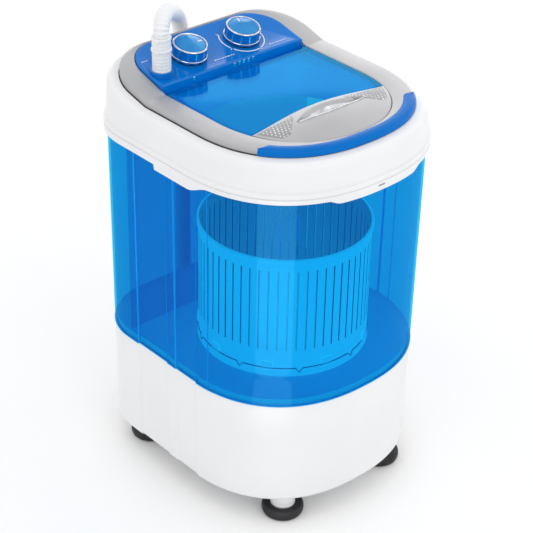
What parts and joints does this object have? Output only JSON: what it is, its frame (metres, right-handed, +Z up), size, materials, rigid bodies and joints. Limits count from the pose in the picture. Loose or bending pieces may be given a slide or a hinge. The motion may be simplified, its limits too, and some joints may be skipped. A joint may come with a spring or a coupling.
{
  "type": "portable washing machine",
  "caption": "Portable top load washing machine: translucent blue tub in a white base and ring, hinged lid, knob console, lift-out basket, belt drive and hooked drain hose.",
  "frame": {"origin": "on the floor, under the middle of the machine's bounding box without its hose", "axes": "+Z up, -Y is the front where the user stands, +X to the user's right"},
  "size_m": [0.3532, 0.4138, 0.651],
  "materials": {
    "white_plastic": "gloss moulded white",
    "blue_clear_plastic": "clear tinted blue",
    "blue_plastic": "gloss blue",
    "silver_paint": "satin silver paint on plastic",
    "chrome": "mirror",
    "black_rubber": "matte black",
    "steel": "satin",
    "hose_white": "satin white",
    "basket_plastic": "satin pale",
    "copper_winding": "varnished copper wire"
  },
  "bodies": {
    "machine": {"base_shell": "white_plastic", "base_plate": "white_plastic", "leg_1": "white_plastic", "leg_2": "white_plastic", "leg_3": "white_plastic", "leg_4": "white_plastic", "top_ring": "white_plastic", "drain_elbow": "white_plastic", "hose_clip": "white_plastic", "motor_capacitor": "white_plastic", "rubber_foot_1": "black_rubber", "rubber_foot_2": "black_rubber", "rubber_foot_3": "black_rubber", "rubber_foot_4": "black_rubber", "selector_switch": "black_rubber", "timer_switch": "black_rubber", "drain_pipe": "black_rubber", "cable_gland": "black_rubber", "shaft_seal": "black_rubber", "motor_mount_1": "black_rubber", "motor_mount_2": "black_rubber", "motor_mount_3": "black_rubber", "drive_belt": "black_rubber", "base_screw_1": "steel", "base_screw_2": "steel", "base_screw_3": "steel", "base_screw_4": "steel", "bearing_housing": "steel", "lower_bearing": "steel", "upper_bearing": "steel", "motor_can": "steel", "motor_bracket": "steel", "tub_housing": "blue_clear_plastic", "tub_partition": "blue_clear_plastic", "trim_frame": "silver_paint", "crescent_accent": "blue_plastic", "control_panel": "blue_plastic", "hose_port": "blue_plastic", "hose_cuff": "hose_white", "drain_hose": "hose_white", "motor_stator": "copper_winding"},
    "lid": {"lid_window": "blue_clear_plastic", "lid_visor": "silver_paint", "lid_pin_left": "steel", "lid_pin_right": "steel"},
    "selector": {"selector_knob": "blue_plastic", "selector_knob_bezel": "chrome", "selector_shaft": "steel"},
    "timer": {"timer_knob": "blue_plastic", "timer_knob_bezel": "chrome", "timer_shaft": "steel"},
    "drive": {"drive_shaft": "steel", "drive_hub": "steel", "pulsator": "basket_plastic", "drum_pulley": "steel", "pulley_nut": "steel"},
    "basket": {"spin_basket": "basket_plastic"},
    "rotor": {"motor_rotor": "steel", "motor_pulley": "steel"}
  },
  "joints": [
    {"name": "lid_hinge", "type": "hinge", "parent": "machine", "child": "lid", "pos_m": [0, 0.06371, 0.5525], "axis": [-1, 0, 0], "range_deg": [0, 95]},
    {"name": "selector_turn", "type": "hinge", "parent": "machine", "child": "selector", "pos_m": [-0.0455, 0.11071, 0.57443], "axis": [0, 0.2233, -0.9748], "range_deg": [0, 90]},
    {"name": "timer_turn", "type": "hinge", "parent": "machine", "child": "timer", "pos_m": [0.0455, 0.11071, 0.57443], "axis": [0, 0.2233, -0.9748], "range_deg": [0, 300]},
    {"name": "drive_spin", "type": "hinge", "parent": "machine", "child": "drive", "pos_m": [0, -0.03529, 0.1], "axis": [0, 0, 1], "continuous": true},
    {"name": "basket_lift", "type": "slide", "parent": "drive", "child": "basket", "axis": [0, 0, 1], "range_m": [0, 0.15]},
    {"name": "rotor_spin", "type": "hinge", "parent": "machine", "child": "rotor", "pos_m": [-0.078, 0.03671, 0.1], "axis": [0, 0, 1], "continuous": true}
  ],
  "couplings": [
    {"joint": "rotor_spin", "follows": "drive_spin", "ratio": 3.8455}
  ]
}
